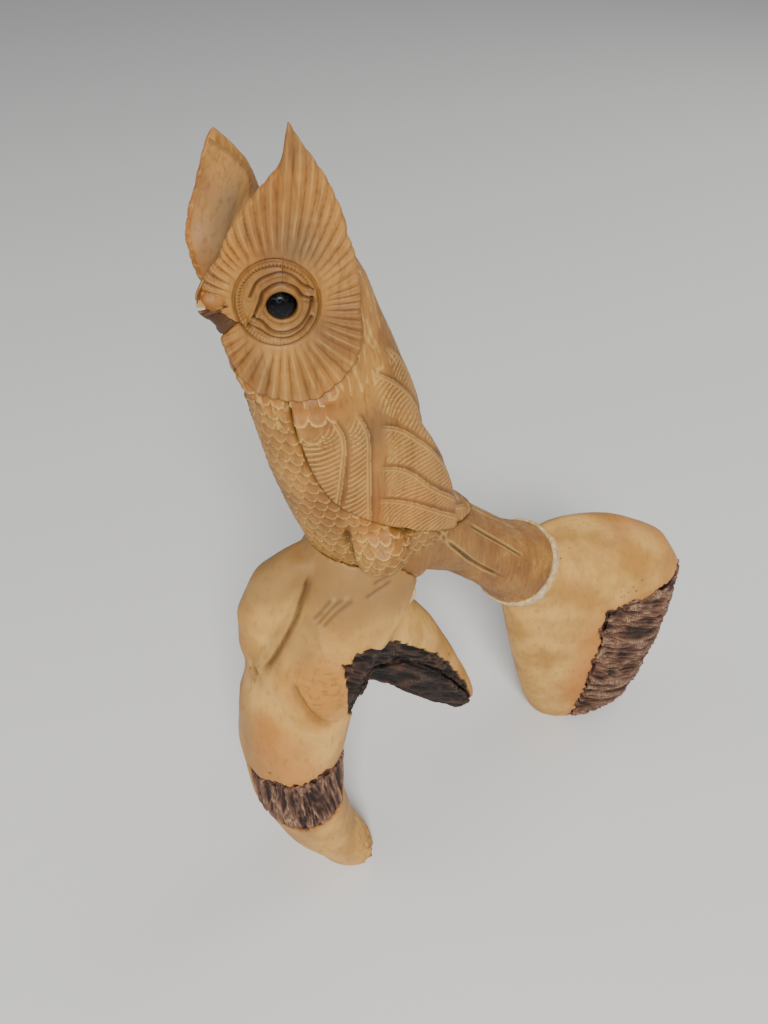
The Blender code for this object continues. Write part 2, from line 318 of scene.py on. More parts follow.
def on_body(points):
    """Angles and heights as unrolled millimetres."""
    return np.array([(angle * DEGREE, height) for angle, height in points])


def within(flat, outline):
    """Which of the unrolled points are inside a closed outline."""
    inside = np.zeros(len(flat), bool)
    for (x0, y0), (x1, y1) in zip(outline, np.roll(outline, -1, axis=0)):
        crossing = (y0 > flat[:, 1]) != (y1 > flat[:, 1])
        where = x0 + (flat[:, 1] - y0) * (x1 - x0) / (y1 - y0 if y1 != y0 else 1e-9)
        inside ^= crossing & (flat[:, 0] < where)
    return inside


flat = unrolled(owl.at)
body_part = (owl.at[:, 2] > 140) & (owl.at[:, 1] < -4)

# %% [markdown]
# ## The wings
# The wing lies on the body like a leaf. Its front and lower edge is cut deep, so the wing stands proud of the
# breast, and the groove is painted dark as the shade under the wing's edge.

# %% Wing edge
WING_EDGE = [(27, 214), (29, 209), (31, 203), (33, 195), (37, 189), (43, 184), (50, 181), (64, 176),
             (91, 168), (112, 163), (135, 156), (152, 150), (168, 145)]
WING_TOP = 214.5
wing_line = drawn(on_body(WING_EDGE))
wing_area = np.vstack([wing_line, on_body([(185, 145), (185, 226), (60, 226), (27, 216)])])
in_wing = within(flat, wing_area) & body_part
wing_gap = gap_to(flat, wing_line)[0]
ease = ramp(owl.at[:, 2], 212, 206)
raised = np.where(in_wing, (0.35 + 1.25 * np.exp(-wing_gap / 5.0)) * ease, 0)
cut = np.where(in_wing, stroke(wing_gap, 0.35), stroke(wing_gap, 0.95)) * (owl.at[:, 2] < WING_TOP)
owl.lift(np.where(body_part, raised - 1.7 * cut, 0))
# Painted shade: the groove under the wing's edge is darkened.
owl.mark("shaded_groove", np.where(body_part, stroke(wing_gap, 0.75) * (owl.at[:, 2] < WING_TOP), 0))
print("wing points:", int(in_wing.sum()))

# %% [markdown]
# ## Feathers
# Each flight feather has a double quill line and short curved barbs on one side of it. A barb is a thin pale
# cut, repeated along the quill, and the feather steps down behind its quill. Every point of the wing belongs
# to the nearest feather whose barb side it is on. A quill is listed with the slope of its barbs.

# %% Feathers
BARB = 1.6           # from one barb to the next
BARB_LONG = 9.5
QUILLS = [
    (-1, [(58, 211), (62, 205), (57, 198), (44, 185)]),
    (-1, [(78, 211), (81, 204), (74, 195), (61, 177)]),
    (1, [(106, 218), (125, 212), (137, 205), (146, 196), (154, 184)]),
    (1, [(92, 205), (106, 202), (118, 196), (128, 189), (138, 179), (150, 163)]),
    (1, [(79, 194), (93, 192), (104, 188), (116, 180), (130, 172), (150, 160), (168, 149)]),
    (1, [(70, 184), (88, 181), (104, 176), (128, 165), (150, 153)]),
    (1, [(138, 220), (152, 213), (160, 204), (166, 193), (170, 180)]),
    (1, [(148, 198), (160, 187), (168, 174), (173, 160)])]
chosen = np.full(owl.count, 1e9)
barb = np.zeros(owl.count)
quill = np.zeros(owl.count)
step_down = np.zeros(owl.count)
for slope, points in QUILLS:
    gap, along, side = gap_to(flat, drawn(on_body(points)))
    ends = ramp(along, 0, 3) * ramp(along.max() - along, -0.5, 1.5)
    before = side < 0
    mine = in_wing & before & (gap < chosen) & (gap < BARB_LONG) & (along > 0.3)
    chosen[mine] = gap[mine]
    slant = (along + slope * (1.1 * gap - 0.05 * gap ** 2)) / BARB
    line = ramp(np.abs(slant % 1 - 0.5), 0.27, 0.46) * ramp(gap, 1.0, 1.5) * ramp(along - 0.35 * gap, 0, 2.5)
    barb[mine] = line[mine]
    twin = stroke(gap, 0.24) + stroke(gap - 0.95, 0.22)
    quill = np.maximum(quill, np.where(in_wing & before & (gap < 1.6), twin * ends, 0))
    step_down = np.maximum(step_down, np.where(in_wing & ~before, stroke(gap - 0.35, 0.6) * ends, 0))
barb *= 1 - np.clip(4 * step_down, 0, 1)
pressed = 0.5 + 0.5 * wander(owl.at, 3.0, seed=4)
owl.lift(-0.13 * barb - 0.08 * quill - 0.24 * step_down)
owl.mark("scratch", 0.80 * barb * (0.50 + 0.50 * pressed))
owl.mark("scratch", 0.55 * quill)
# Painted shade: the step down behind each quill is darkened.
owl.mark("shaded_groove", 0.5 * step_down)

# %% [markdown]
# ## Scales
# The breast is covered with rows of U-shaped scales, like roof tiles. Each row's lower edge is a chain of
# arcs, every second row is moved by half a scale, and a scale is highest at its lower edge.

# %% Scales
def scales(flat, wide, tall, sag):
    """How far up its own scale each point is: 0 at the lower edge, about 1 at the next row."""
    best = np.full(len(flat), 1e9)
    first = np.floor(flat[:, 1] / tall).astype(int)
    for row in range(-1, 3):
        level = first + row
        across = (flat[:, 0] / wide + 0.5 * (level % 2)) % 1 - 0.5
        edge = level * tall - sag * np.sqrt(np.clip(1 - (2 * across) ** 2, 0, 1))
        above = flat[:, 1] - edge
        best = np.where((above >= 0) & (above < best), above, best)
    return best / tall


ripple = np.column_stack([wander(owl.at, 7, seed=1), wander(owl.at, 7, seed=2)]) * 0.5
on_breast = body_part & ~in_wing & (owl.at[:, 2] > 155) & (owl.at[:, 2] < 217) & (wing_gap > 0.9) & ~covered
height = scales(flat + ripple, 3.3, 3.1, 1.9)
shoulder = in_wing & (owl.at[:, 2] > 199) & (flat[:, 0] < 62 * DEGREE) & (owl.at[:, 2] < 213.5) & ~covered
shoulder &= flat[:, 1] > 199 + (flat[:, 0] - 9) * 0.9
coverts = scales(flat + ripple, 4.6, 4.4, 2.4)
for area, level, rise in ((on_breast, height, 0.34), (shoulder, coverts, 0.30)):
    owl.lift(np.where(area, rise * (1 - np.clip(level * 1.6, 0, 1)) - 0.12, 0))
    owl.mark("scratch", np.where(area, stroke(level - 0.03, 0.11) * (0.65 + 0.35 * pressed), 0))
    # Painted shade: each scale darkens towards its top, under the edge of the row above.
    owl.mark("shaded_groove", np.where(area, 0.30 * ramp(level, 0.55, 1.0), 0))
print("scale points:", int(on_breast.sum() + shoulder.sum()))

# %% [markdown]
# ## Lines on the tail, thighs and head
# These are single strokes, drawn through a few places on the surface. A stroke is a smooth line of given
# width and depth; the pale ones only scratch the polish.

# %% Single strokes
def shaded_groove(surface, points, width, depth, dark=0.7, pale=0.0):
    """A gouge stroke through the points, on both halves of the owl."""
    spot = half(surface.at)
    gap, along, side = gap_to(spot, laid_on(spot, points))
    whole = along.max()
    taper = ramp(along, 0, 0.12 * whole) * ramp(whole - along, 0, 0.12 * whole)
    shape = stroke(gap, width) * (0.35 + 0.65 * taper)
    surface.lift(-depth * shape)
    # Painted shade: the hollow of the stroke is darkened.
    surface.mark("shaded_groove", dark * shape)
    surface.mark("scratch", pale * taper * stroke(gap - 1.5 * width, 0.3))


shaded_groove(owl, [(18.3, -37, 162), (12.9, -22.5, 141.8), (10.9, -10, 124.5), (9.5, 4, 110)], 0.55, 0.9, 0.8, 0.5)
shaded_groove(owl, [(9.8, -14, 143.7), (9.7, -1, 128.8), (9.9, 12.7, 112.6)], 0.45, 0.7, 0.8, 0.5)
shaded_groove(owl, [(12.6, -61.5, 174), (11.8, -61.5, 168), (12.2, -60.5, 161), (14, -58, 155)], 0.9, 1.3, 0.9)
shaded_groove(owl, [(21, -48.5, 170), (22, -46.5, 165), (20.5, -46.5, 158), (17, -47, 154)], 0.8, 0.9, 0.7)
shaded_groove(owl, [(4.5, -10, 145), (4.0, 4, 131), (3.5, 20, 117)], 0.4, 0.5, 0.6, 0.3)
shaded_groove(owl, [(0.1, -8, 147), (0.1, 10, 131), (0.1, 28, 113)], 0.4, 0.4, 0.5, 0.2)
tail = owl.at[:, 1] > -22
tail_fan = np.abs(wander(owl.at * [2.2, 0.12, 0.12], 1.1, seed=9))
owl.lift(np.where(tail & (owl.at[:, 2] < 150), -0.16 * ramp(tail_fan, 0.25, 0.0), 0))

# %% Thighs and small scratches
THIGH = np.array([18.0, -54.5, 164.0])
thigh_gap = np.linalg.norm((half(owl.at) - THIGH) * [1.0, 0.8, 1.0], axis=1)
on_thigh = (owl.at[:, 2] < 173) & (thigh_gap < 9.5) & (owl.at[:, 1] < -40) & ~in_wing
curl = scales(unrolled(owl.at) + 2.2 * ripple, 3.6, 3.4, 2.4)
owl.lift(np.where(on_thigh, 0.22 * (1 - np.clip(curl * 1.8, 0, 1)) - 0.1, 0))
owl.mark("scratch", np.where(on_thigh, 0.7 * stroke(curl - 0.04, 0.11) * pressed, 0))
stretched = owl.at * [1.0, 1.0, 0.16]
hair = np.abs(wander(stretched, 1.25, seed=21)) + 0.35 * np.abs(wander(stretched, 0.7, seed=22))
neck = body_part & (owl.at[:, 2] > 206) & (~in_wing | (owl.at[:, 2] > 214)) & ~covered
owl.lift(np.where(neck, -0.12 * ramp(hair, 0.34, 0.08), 0) + 0.05 * wander(owl.at, 1.2, seed=23))
owl.mark("scratch", np.where(neck, 0.5 * ramp(hair, 0.30, 0.10), 0))
rubbed = ramp(wander(owl.at, 6, seed=24), 0.0, 0.7)
owl.mark("scratch", 0.25 * rubbed * ramp(hair, 0.30, 0.10) * (owl.at[:, 2] < 160))

# %% Stains in the owl's wood, with painted shade under the belly, in the mouth and behind the discs
warm = wander(owl.at, (14, 14, 22), seed=31)
owl.mark("warm", ramp(warm, 0.05, 0.75))
grey = wander(owl.at, (9, 9, 12), seed=32)
forehead = (owl.at[:, 2] > 243) & (owl.at[:, 1] < -62)
owl.mark("grey", ramp(grey, 0.15, 0.8) * 0.5 + 0.6 * forehead * ramp(grey, -0.5, 0.4))
# Painted shade: the lower body, off the wing, is darkened as the shade under the belly.
low = ramp(owl.at[:, 2], 178, 150) * (owl.at[:, 1] < -8)
owl.mark("painted_shade", np.where(in_wing, 0, low * 0.6))
# Painted shadow: the mouth gap under the beak is marked fully dark.
mouth_shadow = (half(owl.at)[:, 0] < 7) & (owl.at[:, 2] > 226) & (owl.at[:, 2] < 237) & (owl.at[:, 1] < -72)
owl.mark("shaded_groove", 1.0 * mouth_shadow)
owl.marks["scratch"] = owl.marks["scratch"] * ~(mouth_shadow | covered)
# Painted shade: the block behind each disc's rim is darkened.
owl.mark("shaded_groove", covered * ramp(out, -7, -4) * 0.6)
owl.keep_marks()

# %% [markdown]
# ## Cutting the block in four
# The whole owl would be one very heavy mesh, so it is cut level at the neck, the waist and the tail's root.
# Each part is closed again by a flat face, and the cuts match exactly.

# %% Four parts
NECK = 216.0
WAIST = 182.0
TAIL_ROOT = 146.0


def slab(piece, name, low, high):
    """A copy of the piece between two heights in millimetres, closed flat at the cuts."""
    part = bpy.data.objects.new(name, piece.data.copy())
    bpy.context.scene.collection.objects.link(part)
    alone(part)
    bpy.ops.object.mode_set(mode="EDIT")
    for level, upward in ((low, 1), (high, -1)):
        if level is not None:
            bpy.ops.mesh.select_all(action="SELECT")
            bpy.ops.mesh.bisect(plane_co=(0, 0, level * MM), plane_no=(0, 0, upward), use_fill=True,
                                clear_inner=True, threshold=0.00001 * MM)
    bpy.ops.object.mode_set(mode="OBJECT")
    return part


owl_parts = [slab(owl.piece, "owl_head", NECK, None),
             slab(owl.piece, "owl_shoulders", WAIST, NECK),
             slab(owl.piece, "owl_body", TAIL_ROOT, WAIST),
             slab(owl.piece, "owl_legs_and_tail", None, TAIL_ROOT)]
bpy.data.objects.remove(owl.piece)
for part in owl_parts:
    print(part.name, "triangles:", sum(len(face.vertices) - 2 for face in part.data.polygons))

# %% [markdown]
# ## The face discs
# A disc starts as a sphere whose pole is put on the eye. The front half is pressed into the dished ground and
# spread to the drawn edge, and the rest becomes the back. Rows of points then run round the eye and columns
# run out to the rim, just as the ribs do, so the ribs come out crisp.

# %% Disc points
SIDES = 600
ROWS = 150
RIBS = 46
PUPIL = 2.9
RING_WIDE = 7.9
RING_TALL = 9.0
RING_BACK = -0.95


def disc_shape(turn, depth, edge):
    """Back, up and out of each point from its turn round the eye and its row from pole to pole, 0 to 1."""
    wobble = np.linspace(-np.pi, np.pi, 2400, endpoint=False)
    smooth = disc_reach(wobble, edge)
    for _ in range(4):
        smooth = (np.roll(smooth, 1) + 2 * smooth + np.roll(smooth, -1)) / 4
    reach = np.interp(turn, wobble, smooth, period=2 * np.pi)
    rim = 0.80
    front = np.clip(depth / rim, 0, 1)
    behind = np.clip((depth - rim) / (1 - rim), 0, 1)
    tucked = reach - 0.9 * ramp(behind, 0, 0.25)
    radius = np.where(depth <= rim, reach * front, tucked * (1 - ramp(behind, 0.2, 1)))
    return radius, front, behind, reach


def ribs(back, up):
    """Where each point is between two grooves: the lines leave the eye and bend together at the ear tip."""
    from_eye = np.arctan2(up, back)
    from_tip = np.arctan2(up - 41, back - 5)
    phase = (from_eye - 0.42 * (from_tip + np.pi / 2)) * RIBS / (2 * np.pi)
    phase += 0.22 * np.sin(5 * from_eye + 1) + 0.13 * np.sin(11 * from_eye) + 0.05 * np.hypot(back, up) / 10
    return np.abs(np.sin(np.pi * phase))


# %% [markdown]
# ## The eye's lids and ring
# Round the bead lie a rolled inner lid, an almond-shaped lid with two corners, and a round ring with small
# nicks in its front and lower half. Each line is drawn in the disc's own plane.

# %% Lids and ring
INNER_LID = [(-5.8, -2.4), (-4.3, 0.6), (-3.2, 3.2), (-0.2, 4.7), (2.6, 3.7), (4.1, 1.7), (5.8, 1.3)]
LOWER_LID = [(-5.8, -2.4), (-4.3, -3.3), (-2.7, -5.3), (-0.9, -6.1), (1.4, -5.8), (3.7, -4.2), (5.2, -1.5),
             (5.8, 1.3)]
UPPER_FOLD = [(-6.0, 2.0), (-4.2, 5.3), (-1.3, 6.7), (0.9, 6.9), (2.8, 5.8), (4.4, 4.0), (6.2, 3.0)]
LOWER_FOLD = [(-6.9, -4.0), (-4.6, -5.4), (-2.5, -6.9), (-0.4, -7.3), (1.6, -6.9), (3.6, -5.5), (5.4, -3.0)]


def eye_relief(back, up):
    """Height and darkness of the lids and the ring."""
    spot = np.column_stack([back, up])
    close = np.hypot(back, up) < 12
    height = np.zeros(len(back))
    dark = np.zeros(len(back))
    strokes = ((INNER_LID, 0.5, 0.5), (LOWER_LID, 0.5, 0.5), (UPPER_FOLD, 0.4, 0.35), (LOWER_FOLD, 0.5, 0.4))
    # Painted shade: the lid cuts, the hollow round the bead and the ring's nicks and outer groove are
    # darkened.
    for line, deep, rise in strokes:
        gap, along, side = gap_to(spot[close], drawn(line))
        height[close] += rise * stroke(gap - 0.6, 0.4) * 0.6 - deep * stroke(gap, 0.22)
        dark[close] = np.maximum(dark[close], 0.9 * stroke(gap, 0.26))
    radius = np.hypot(back, up + 0.1)
    height += 0.55 * stroke(radius - PUPIL - 0.55, 0.55) - 3.0 * ramp(radius, PUPIL + 0.1, PUPIL - 0.5)
    dark = np.maximum(dark, ramp(radius, PUPIL + 0.25, PUPIL - 0.1))
    ring = np.hypot((back - RING_BACK) / RING_WIDE, (up - 0.2) / RING_TALL)
    round_it = np.arctan2((up - 0.2) / RING_TALL, (back - RING_BACK) / RING_WIDE)
    nicks = ramp(np.abs(np.sin(34 * round_it)), 0.45, 0.1) * ramp(ring, 0.84, 0.9) * ramp(ring, 1.01, 0.97)
    nicks *= 0.35 + 0.65 * ramp(-np.cos(round_it + 0.7), -0.5, 0.4)
    height += 0.40 * stroke(ring - 0.97, 0.045) - 0.45 * stroke(ring - 0.87, 0.035) * 0.6 - 0.25 * nicks
    height -= 0.45 * stroke(ring - 1.05, 0.035)
    dark = np.maximum(dark, np.maximum(0.55 * nicks, 0.55 * stroke(ring - 1.05, 0.04)))
    return height, dark, ring


# %% One disc
def face_disc(name, right):
    bpy.ops.mesh.primitive_uv_sphere_add(segments=SIDES, ring_count=ROWS, radius=1)
    piece = bpy.context.object
    piece.name = name
    disc = Surface(piece)
    ball = disc.at * MM
    turn = np.arctan2(ball[:, 1], ball[:, 0])
    depth = np.arccos(np.clip(ball[:, 2], -1, 1)) / np.pi
    radius, front, behind, reach = disc_shape(turn, depth, RIGHT_EDGE if right else LEFT_EDGE)
    back, up = radius * np.cos(turn), radius * np.sin(turn)
    rib = ribs(back, up)
    lids, dark, ring = eye_relief(back, up)
    carved = ramp(ring, 1.04, 1.5)
    broad = ramp(up, 8, 20)
    lively = 1 + 0.35 * wander(np.column_stack([5 * turn, 0 * turn, 0 * turn + 3]), 1.0, seed=45)
    temple = stroke(turn - 0.1, 0.6)
    brow_side = stroke(turn - 2.4, 0.6)
    worn = (0.85 if right else 0.45) * ramp(front, 0.85, 1)
    lively *= (1 - 0.40 * temple) * (1 + 0.30 * brow_side) * (1 - worn)
    deep = (0.16 + 0.56 * ramp(front, 0.30, 0.95)) * carved * (1 - 0.45 * broad) * lively
    valley = 1 - rib ** 0.5
    relief = deep * (0.35 - valley)
    grown = 0.10 * wander(np.column_stack([back, up, 0 * up]), 1.3, seed=41)
    edge = 1 - (0.004 if right else 0.014) * valley * ramp(front, 0.9, 1) * ramp(behind, 0.2, 0)
    back, up = back * edge, up * edge
    ground = disc_level(back, up, right)
    level = ground + relief + lids * (ring < 1.4) + grown
    level -= 0.8 * ramp(front, 0.955, 1.0) ** 2
    hollow = ground - 1.9 - 3.8 * ramp(behind, 0.25, 0.8)
    out = np.where(behind > 0, level + (hollow - level) * ramp(behind, 0, 0.3), level)
    spot = from_disc(back, up, out, right)
    disc.at = spot
    disc.write()
    # Painted shade: the valleys between the ribs and the disc's back, most at its lower front, are darkened.
    disc.mark("shaded_groove", np.maximum(dark, 0.62 * lively * carved * ramp(valley, 0.35, 0.9)) * (behind < 0.1))
    disc.mark("shaded_groove", ramp(behind, 0.1, 0.4) * (0.15 + 0.85 * (back < -3) * (up < 0)))
    above_eye = stroke(np.hypot(back + 7, up - 13), 5.5) * (0.5 + 0.5 * rib)
    disc.mark("warm", above_eye + 0.5 * stroke(np.hypot(back, up - 19), 4))
    disc.mark("warm", 0.6 * ramp(wander(spot, (8, 8, 12), seed=43), 0.1, 0.8))
    disc.mark("grey", 0.9 * stroke(np.hypot(back - 4, up - 12), 6) * ramp(ring, 1.0, 1.2))
    clouds = 0.4 * ramp(wander(spot, 7, seed=42), 0.3, 0.9)
    disc.mark("grey", 0.5 * stroke(np.hypot(back - 7, up + 7), 5) + clouds)
    # Painted shade: inside the eye ring the wood is darkened.
    disc.mark("painted_shade", 0.8 * (ring < 1.03))
    disc.mark("scratch", 0.35 * carved * ramp(rib, 0.93, 1.0) * (0.5 + 0.5 * wander(spot, 2.5, seed=44)))
    disc.keep_marks()
    alone(piece)
    bpy.ops.object.mode_set(mode="EDIT")
    bpy.ops.mesh.select_all(action="SELECT")
    bpy.ops.mesh.normals_make_consistent(inside=False)
    bpy.ops.object.mode_set(mode="OBJECT")
    return piece


discs = [face_disc("left_face_disc", False), face_disc("right_face_disc", True)]
print("disc points:", len(discs[0].data.vertices))

# %% [markdown]
# ## The forehead
# Between the brows the wood is left smooth, as a hollow sheet hung between both discs' edges. It is a grid
# whose two sides follow the brows and whose middle sags back. It is thickest below, where it meets the crown.

# %% Forehead sheet
def along_brow(edge, share):
    """Back and up of places at these shares of a brow's length."""
    line = drawn(edge)
    length = np.concatenate([[0], np.cumsum(np.linalg.norm(np.diff(line, axis=0), axis=1))])
    where = share * length[-1]
    return np.interp(where, length, line[:, 0]), np.interp(where, length, line[:, 1])


def forehead_sheet():
    bpy.ops.mesh.primitive_grid_add(x_subdivisions=150, y_subdivisions=130, size=1)
    piece = bpy.context.object
    piece.name = "forehead_sheet"
    sheet = Surface(piece)
    across = sheet.at[:, 0] * MM + 0.5
    share = sheet.at[:, 1] * MM + 0.5
    sides = []
    for right, brow in ((False, LEFT_BROW), (True, RIGHT_BROW)):
        back, up = along_brow(brow, share)
        sides.append(from_disc(back, up, disc_level(back, up, right) - 1.1, right))
    spot = sides[0] * (1 - across)[:, None] + sides[1] * across[:, None]
    sag = 3.4 * np.sin(np.pi * across) ** 1.2 * ramp(share, 0, 0.45)
    spot += sag[:, None] * np.array([0, 0.97, -0.25])
    spot += 0.10 * wander(spot, 2.2, seed=46)[:, None] * np.array([0, 1, 0])
    sheet.at = spot
    sheet.write()
    middle = stroke(across - 0.5, 0.32) * stroke(share - 0.55, 0.35)
    sheet.mark("grey", 1.3 * middle)
    sheet.mark("warm", 0.6 * ramp(wander(spot, 5, seed=47), 0.2, 0.8))
    # Painted shade: fine cracks and the sheet's top edge are darkened.
    sheet.mark("shaded_groove", 0.25 * ramp(np.abs(wander(spot * [1.0, 0.3, 0.3], 1.1, seed=48)), 0.06, 0.0))
    sheet.mark("shaded_groove", 0.5 * ramp(share, 0.955, 0.985))
    sheet.keep_marks()
    if sheet.out[:, 1].mean() > 0:
        alone(piece)
        bpy.ops.object.mode_set(mode="EDIT")
        bpy.ops.mesh.select_all(action="SELECT")
        bpy.ops.mesh.flip_normals()
        bpy.ops.object.mode_set(mode="OBJECT")
    apply_modifier(piece, "SOLIDIFY", thickness=1.0 * MM, offset=-1)
    solid = Surface(piece)
    fuller = 13.0 * (1 - share) ** 0.9
    back_of_it = slice(len(share), 2 * len(share))
    solid.at[back_of_it, 0] += DISC_BACK[0] * fuller * (1 - 2 * across)
    solid.at[back_of_it, 1] += DISC_BACK[1] * fuller
    solid.write()
    return piece


forehead = forehead_sheet()


# %% Beak
def small_beak():
    bpy.ops.mesh.primitive_uv_sphere_add(segments=96, ring_count=64, radius=1)
    piece = bpy.context.object
    piece.name = "beak"
    beak = Surface(piece)
    ball = beak.at * MM
    narrow = 0.30 + 0.70 * ramp(ball[:, 2], -1.0, 0.5)
    hook = 1.5 * ramp(-ball[:, 2], -0.2, 1)
    beak.at = np.column_stack([MIDDLE + 2.5 * ball[:, 0] * narrow,
                               -81.6 + 3.3 * ball[:, 1] * narrow - hook,
                               238.4 + 2.8 * ball[:, 2] - 0.6 * np.abs(ball[:, 0])])
    beak.write()
    beak.lift(0.06 * wander(beak.at, 1.0, seed=49))
    beak.mark("warm", 0.4 + 0 * ball[:, 0])
    # Painted shade: the beak's underside is darkened.
    beak.mark("shaded_groove", 0.7 * ramp(ball[:, 2], -0.55, -0.95))
    beak.keep_marks()
    return piece


beak = small_beak()

# %% [markdown]
# ## The eyes
# Each eye is a black bead pushed into the wood. It is domed, a little flattened by handling, and carries a
# few hair scratches in its polish.

# %% Eye beads
def bead(name, node):
    low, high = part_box(node)
    centre = np.array((low + high) / 2) / MM
    size = (high - low).x / 2 / MM
    bpy.ops.mesh.primitive_uv_sphere_add(segments=128, ring_count=64, radius=size * MM)
    piece = bpy.context.object
    piece.name = name
    eye = Surface(piece)
    forward = DISC_OUT * (-1 if centre[0] < MIDDLE else 1)
    forward = np.array([forward[0], DISC_OUT[1], 0])
    tip = eye.at @ forward
    eye.at -= (0.35 * ramp(tip, 0.72 * size, size))[:, None] * forward
    eye.at += 0.04 * wander(eye.at, 1.4, seed=51)[:, None] * eye.out
    eye.at += centre
    eye.write()
    fine = np.abs(wander(eye.at * [1.0, 1.0, 0.2], 0.5, seed=52))
    eye.mark("scratch", ramp(fine, 0.05, 0.01))
    eye.keep_marks()
    return piece


beads = [bead("left_eye_bead", "left_eye"), bead("right_eye_bead", "right_eye")]

# %% [markdown]
# ## The flares
# The two flares are the burl's own smooth skin, pale and hardly worked. Where the tree was broken off, the
# skin ends in a jagged edge and the old fibrous wood shows. The break is drawn by the distance to the torn
# pieces, made ragged with noise.

# %% Distance to torn wood
def nearness(at, names):
    """The distance from each point to the nearest of these frame nodes, in millimetres."""
    nearest = np.full(len(at), 1e9)
    for name in names:
        mesh = nodes[name].data
        corners = [vertex.co / MM for vertex in mesh.vertices]
        tree = BVHTree.FromPolygons(corners, [face.vertices[:] for face in mesh.polygons])
        low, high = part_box(name)
        low, high = np.array(low) / MM - 8, np.array(high) / MM + 8
        around = np.where(np.all((at > low) & (at < high), axis=1))[0]
        for index in around:
            found = tree.find_nearest(at[index])
            nearest[index] = min(nearest[index], found[3])
    return nearest


def fibres(at, way, thick, long, seed):
    """Long splinters along one direction: 0 in the clefts and about 1 on the strands."""
    way = np.array(Vector(way).normalized())
    spin = np.array(Vector(way).orthogonal().normalized())
    third = np.cross(way, spin)
    spot = np.column_stack([at @ way / long, at @ spin / thick, at @ third / thick])
    bend = 0.35 * wander(spot * [1.0, 0.4, 0.4], 1.0, seed=seed + 7)[:, None]
    return 1 - np.abs(wander(spot + bend * [0, 1, 1], 1.0, seed=seed)) * 1.6


# %% Burl skin
def burl(node, name, torn_nodes, way, jag, bare=None):
    skin = Surface(fresh_skin(node, name, 0.60, 9))
    gap = nearness(skin.at, torn_nodes)
    tooth = 0.9 * wander(skin.at, 6, seed=61) + 0.7 * wander(skin.at, 1.6, seed=62)
    tooth += 0.4 * fibres(skin.at, way, 0.9, 5, 63)
    torn = ramp(jag * (0.9 + 0.9 * tooth) - gap, -0.25, 0.25)
    if bare is not None:
        ragged = np.column_stack([skin.at[:, 1], skin.at[:, 2]]) + 0.8 * tooth[:, None] * np.array([0.4, 1.0])
        torn = np.maximum(torn, within(ragged, np.array(bare, float)) & (skin.at[:, 0] > -2))
    strands = fibres(skin.at, way, 1.0, 12, 64)
    swell = 0.30 * wander(skin.at, 16, seed=65) + 0.07 * wander(skin.at, 3, seed=66)
    skin.lift(swell + torn * (0.8 * strands - 1.4))
    skin.mark("torn", torn)
    skin.mark("singed", stroke(gap - jag, 2.2) * (0.55 + 0.45 * tooth) + 0.25 * stroke(gap - jag, 6))
    skin.mark("strand", np.clip(strands, 0, 1))
    skin.mark("warm", ramp(wander(skin.at, (22, 22, 30), seed=67), 0.0, 0.8))
    skin.mark("grey", 0.7 * ramp(wander(skin.at, (12, 12, 16), seed=68), 0.3, 0.9))
    # Painted shade: small pits are sunk and darkened inside.
    pits = wander(skin.at, 1.1, seed=69) * ramp(wander(skin.at, 14, seed=70), 0.3, 0.7)
    skin.lift(-0.5 * ramp(pits, 0.62, 0.8))
    skin.mark("shaded_groove", ramp(pits, 0.6, 0.75))
    return skin


ARCH_WAY = (0.05, 0.70, -0.71)
NOTCH_WAY = (0.1, -0.15, 1.0)
REAR_WAY = (0.1, 0.84, -0.52)
UNDER_ARCH = [(-68, 128), (-66, 127), (-64, 130), (-60, 130), (-55, 126), (-43, 116), (-26, 95), (-8, 60),
              (-2, 40), (-20, 40), (-55, 90), (-63, 96), (-68, 106), (-68, 118)]
front = burl("front_flare", "front_burl", ["arch_host_wood", "notch_host_wood"], ARCH_WAY, 1.5, UNDER_ARCH)
rear = burl("rear_flare", "rear_burl", ["rear_host_wood"], REAR_WAY, 1.6)


# %% Folds in the front flare
def crease(surface, points, width, depth, dark=0.8, shoulder=0.0):
    """A drawn fold or crack, on this side only, with an optional raised lip beside it."""
    gap, along, side = gap_to(surface.at, laid_on(surface.at, points))
    whole = along.max()
    taper = ramp(along, -0.02 * whole, 0.15 * whole) * ramp(whole - along, -0.02 * whole, 0.15 * whole)
    shape = (0.6 * stroke(gap, width) + 0.4 * stroke(gap, 3 * width)) * taper
    surface.lift(shoulder * stroke(gap - 4 * width, 3 * width) * taper - depth * shape)
    # Painted shade: the fold or crack is darkened along its line.
    surface.mark("shaded_groove", dark * stroke(gap, 1.2 * width) * taper)


PETAL = [(-6.2, -65.6, 150.4), (-6.4, -70.3, 140.1), (-6.1, -73.9, 133.9), (-8.3, -80.4, 122.1),
         (-11, -83.5, 115.7)]
TOOL_MARKS = [[(-0.6, -70.1, 138.5), (1.9, -64.7, 145.9)],
              [(0.7, -70.1, 137.6), (2.5, -66, 143.2), (4.4, -62.2, 147)],
              [(2.3, -69.6, 137.3), (4.3, -64.7, 143), (6.4, -60.3, 146.6)],
              [(8, -58.2, 146.4), (9.2, -53.9, 148.4), (9.9, -49.2, 149.6)],
              [(7.8, -55.5, 150.4), (9.4, -47, 151.7)]]
petal_line = drawn(PETAL)
beside = front.at[:, 0] - np.interp(front.at[:, 2], petal_line[::-1, 2], petal_line[::-1, 0])
near_line = np.exp(-gap_to(front.at, petal_line)[0] / 3.5)
front.lift(0.9 * near_line * ramp(beside, 0.9, -0.9))
crease(front, PETAL, 0.65, 1.7, 1.0)
front.mark("grey", 0.5 * stroke(gap_to(front.at, petal_line)[0] - 1, 3.0))
crease(front, [(-11, -83.5, 115.7), (-15.6, -83, 113.3), (-19, -80.5, 113)], 0.6, 1.4, 0.7)
